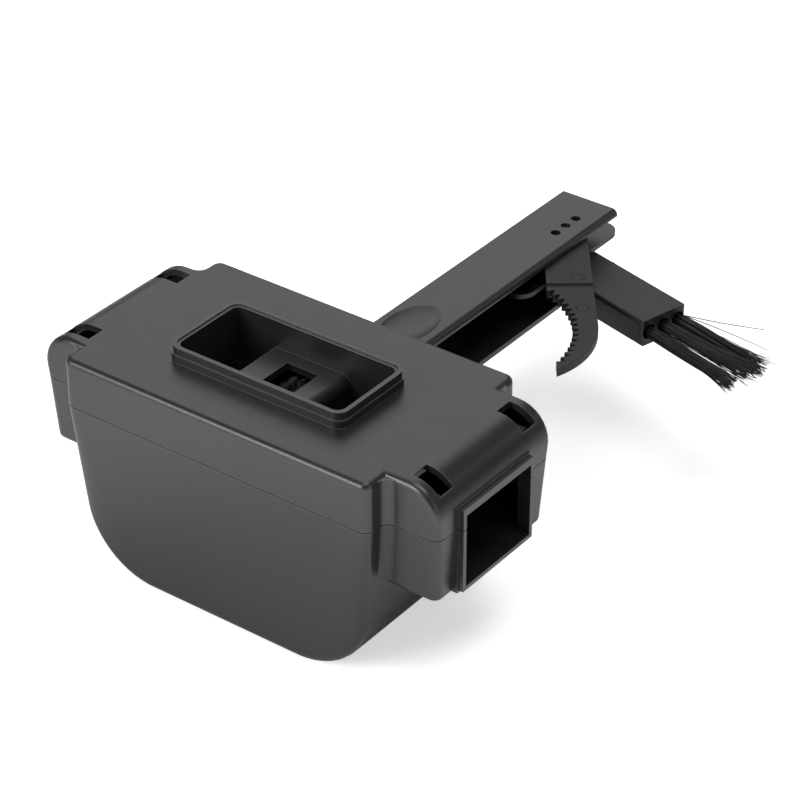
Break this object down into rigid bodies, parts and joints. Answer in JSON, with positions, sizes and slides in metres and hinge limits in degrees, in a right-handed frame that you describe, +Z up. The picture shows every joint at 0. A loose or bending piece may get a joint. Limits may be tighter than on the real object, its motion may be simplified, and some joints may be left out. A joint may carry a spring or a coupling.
{
  "type": "bike chain cleaner",
  "caption": "Handheld bicycle chain cleaner: solvent tank and clip-on cover with brush wheels inside, and a channel handle that holds a fold-out toothed claw and a fold-out brush.",
  "frame": {"origin": "centre of the tank's flat base, on the surface it stands on", "axes": "+Z up, X along the chain with +X at the outlet end, +Y along the handle away from the tank"},
  "size_m": [0.1727, 0.2125, 0.0829],
  "materials": {
    "shell": "finely textured black",
    "inner_plastic": "smooth dark grey",
    "bristle": "black nylon",
    "steel": "plain"
  },
  "bodies": {
    "tank": {"lower_tank": "shell", "handle": "shell", "handle_screws": "steel", "tool_pivot_pin": "steel", "brush_frame": "inner_plastic", "inlet_brush_axle": "steel", "outlet_brush_axle": "steel", "near_side_brush": "bristle", "far_side_brush": "bristle"},
    "cover": {"upper_cover": "shell", "upper_brush_axle": "steel", "inlet_guide_axle": "steel", "outlet_guide_axle": "steel"},
    "claw": {"claw": "shell"},
    "tool_brush": {"tool_brush_holder": "shell", "tool_brush_bristles": "bristle"},
    "inlet_brush_wheel": {"inlet_brush_hub": "inner_plastic", "inlet_brush_bristles": "bristle"},
    "outlet_brush_wheel": {"outlet_brush_hub": "inner_plastic", "outlet_brush_bristles": "bristle"},
    "upper_brush_wheel": {"upper_brush_hub": "inner_plastic", "upper_brush_bristles": "bristle"},
    "inlet_guide": {"inlet_guide_roller": "inner_plastic"},
    "outlet_guide": {"outlet_guide_roller": "inner_plastic"}
  },
  "joints": [
    {"name": "cover_lift", "type": "slide", "parent": "tank", "child": "cover", "axis": [0, 0, 1], "range_m": [0, 0.06]},
    {"name": "claw_pivot", "type": "hinge", "parent": "tank", "child": "claw", "pos_m": [0.0026, 0.1499, 0.0535], "axis": [0, 0, 1], "range_deg": [-37.4, 142.6]},
    {"name": "tool_brush_pivot", "type": "hinge", "parent": "tank", "child": "tool_brush", "pos_m": [0.0026, 0.1499, 0.044], "axis": [0, 0, 1], "range_deg": [-75.5, 104.5]},
    {"name": "inlet_brush_spin", "type": "hinge", "parent": "tank", "child": "inlet_brush_wheel", "pos_m": [-0.02, 0, 0.031], "axis": [0, 1, 0], "continuous": true},
    {"name": "outlet_brush_spin", "type": "hinge", "parent": "tank", "child": "outlet_brush_wheel", "pos_m": [0.02, 0, 0.031], "axis": [0, 1, 0], "continuous": true},
    {"name": "upper_brush_spin", "type": "hinge", "parent": "cover", "child": "upper_brush_wheel", "pos_m": [0, 0, 0.06215], "axis": [0, 1, 0], "continuous": true},
    {"name": "inlet_guide_spin", "type": "hinge", "parent": "cover", "child": "inlet_guide", "pos_m": [-0.0466, 0, 0.0635], "axis": [0, 1, 0], "continuous": true},
    {"name": "outlet_guide_spin", "type": "hinge", "parent": "cover", "child": "outlet_guide", "pos_m": [0.0494, 0, 0.0635], "axis": [0, 1, 0], "continuous": true}
  ]
}
